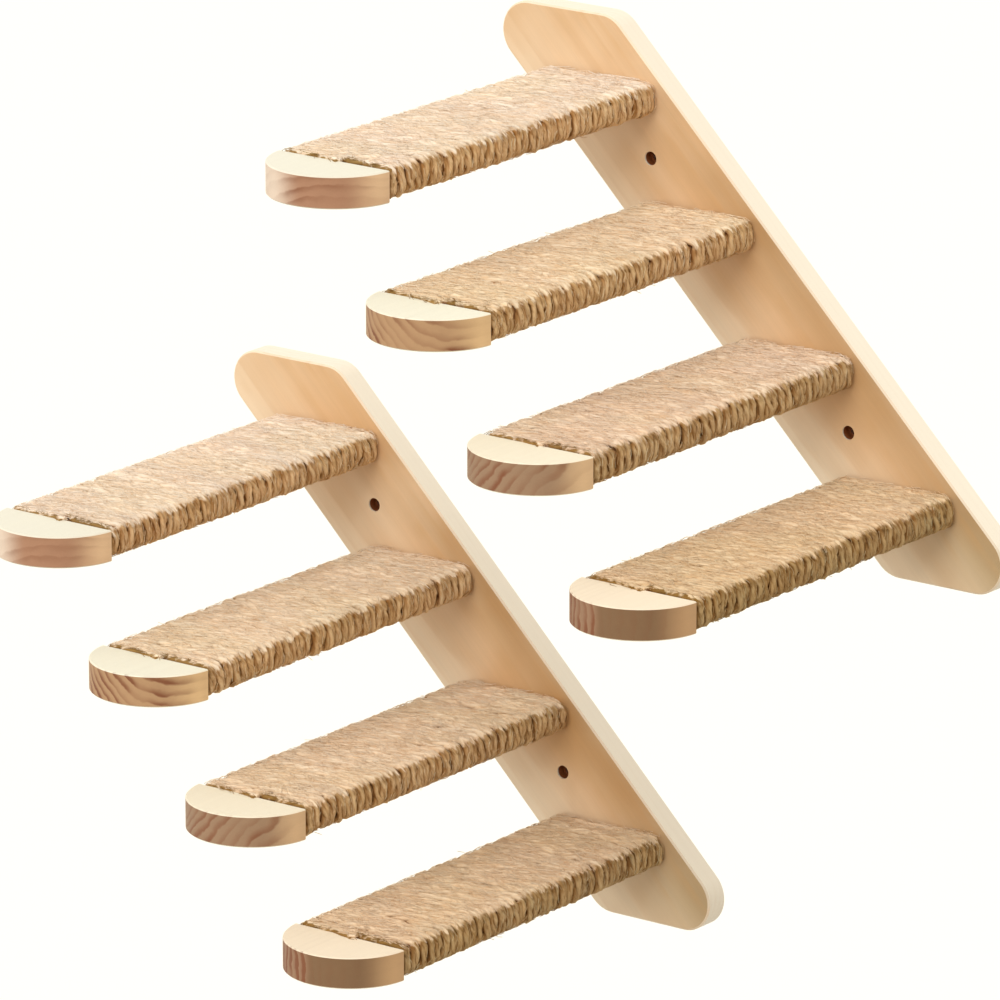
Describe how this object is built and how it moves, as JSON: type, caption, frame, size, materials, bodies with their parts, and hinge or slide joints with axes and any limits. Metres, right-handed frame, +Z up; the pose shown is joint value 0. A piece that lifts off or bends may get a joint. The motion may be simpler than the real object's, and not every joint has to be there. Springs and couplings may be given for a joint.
{
  "type": "cat climbing wall ladder pair",
  "caption": "Pair of wall-mounted pine ladders for a cat to climb, each a sloped board with level half-round-ended steps wound with jute rope.",
  "frame": {"origin": "centre of the upper ladder's upper wall-screw hole, on the wall plane", "axes": "+X right along the wall, +Y into the wall, +Z up; the steps stick out towards -Y"},
  "size_m": [0.539, 0.295, 0.528],
  "materials": {
    "pine": "sanded and clear matt",
    "jute": "rough natural fibre",
    "zinc_steel": "zinc plated"
  },
  "bodies": {
    "root": {"upper_wall_board": "pine", "upper_step_board_1": "pine", "upper_rope_wrap_1": "jute", "upper_step_screws_1": "zinc_steel", "upper_step_board_2": "pine", "upper_rope_wrap_2": "jute", "upper_step_screws_2": "zinc_steel", "upper_step_board_3": "pine", "upper_rope_wrap_3": "jute", "upper_step_screws_3": "zinc_steel", "upper_step_board_4": "pine", "upper_rope_wrap_4": "jute", "upper_step_screws_4": "zinc_steel", "lower_wall_board": "pine", "lower_step_board_1": "pine", "lower_rope_wrap_1": "jute", "lower_step_screws_1": "zinc_steel", "lower_step_board_2": "pine", "lower_rope_wrap_2": "jute", "lower_step_screws_2": "zinc_steel", "lower_step_board_3": "pine", "lower_rope_wrap_3": "jute", "lower_step_screws_3": "zinc_steel", "lower_step_board_4": "pine", "lower_rope_wrap_4": "jute", "lower_step_screws_4": "zinc_steel"}
  },
  "joints": []
}
